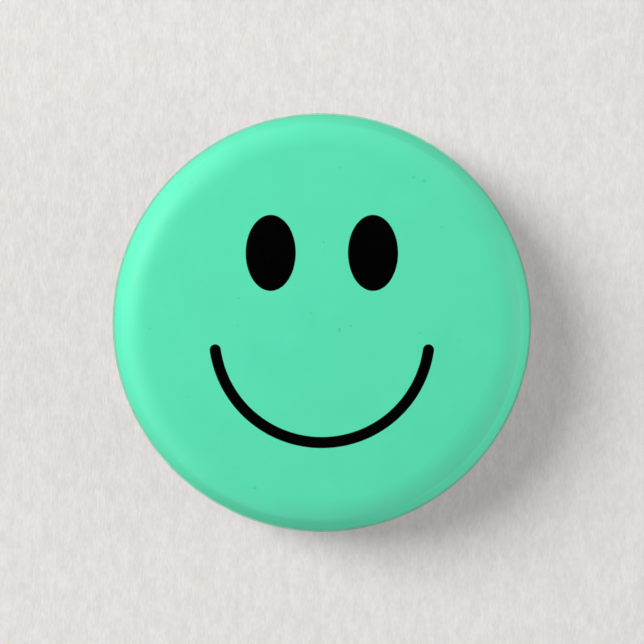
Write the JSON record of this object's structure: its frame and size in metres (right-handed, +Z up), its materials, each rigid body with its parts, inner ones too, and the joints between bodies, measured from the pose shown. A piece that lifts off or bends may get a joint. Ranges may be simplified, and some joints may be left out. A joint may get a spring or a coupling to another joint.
{
  "type": "button badge",
  "caption": "Round pin-back button badge: domed steel shell under printed paper and clear film, with a stamped back plate and a sprung wire pin in a catch.",
  "frame": {"origin": "centre of the rear rim, in the plane where the badge lies against cloth", "axes": "-Y out of the printed face, +Y towards the pin side, +Z up as the badge is worn, +X to the right seen from the front"},
  "size_m": [0.032, 0.0074, 0.032],
  "materials": {
    "film": "clear satin polyester film",
    "print": "mint green print with a plain black face",
    "tinplate": "bright tinplate",
    "back_steel": "stamped tinplate",
    "spring_steel": "nickel plated drawn wire"
  },
  "bodies": {
    "badge": {"clear_film": "film", "printed_paper": "print", "front_shell": "tinplate", "back_plate": "back_steel", "pin_anchor_leg": "spring_steel", "pin_spring_coil": "spring_steel"},
    "needle": {"pin_needle": "spring_steel"}
  },
  "joints": [
    {"name": "pin_swing", "type": "hinge", "parent": "badge", "child": "needle", "pos_m": [-0.01, 0.00065, 0.00112], "axis": [0, 0.766, 0.6428], "range_deg": [0, 40], "deforming": ["pin_spring_coil"]}
  ]
}
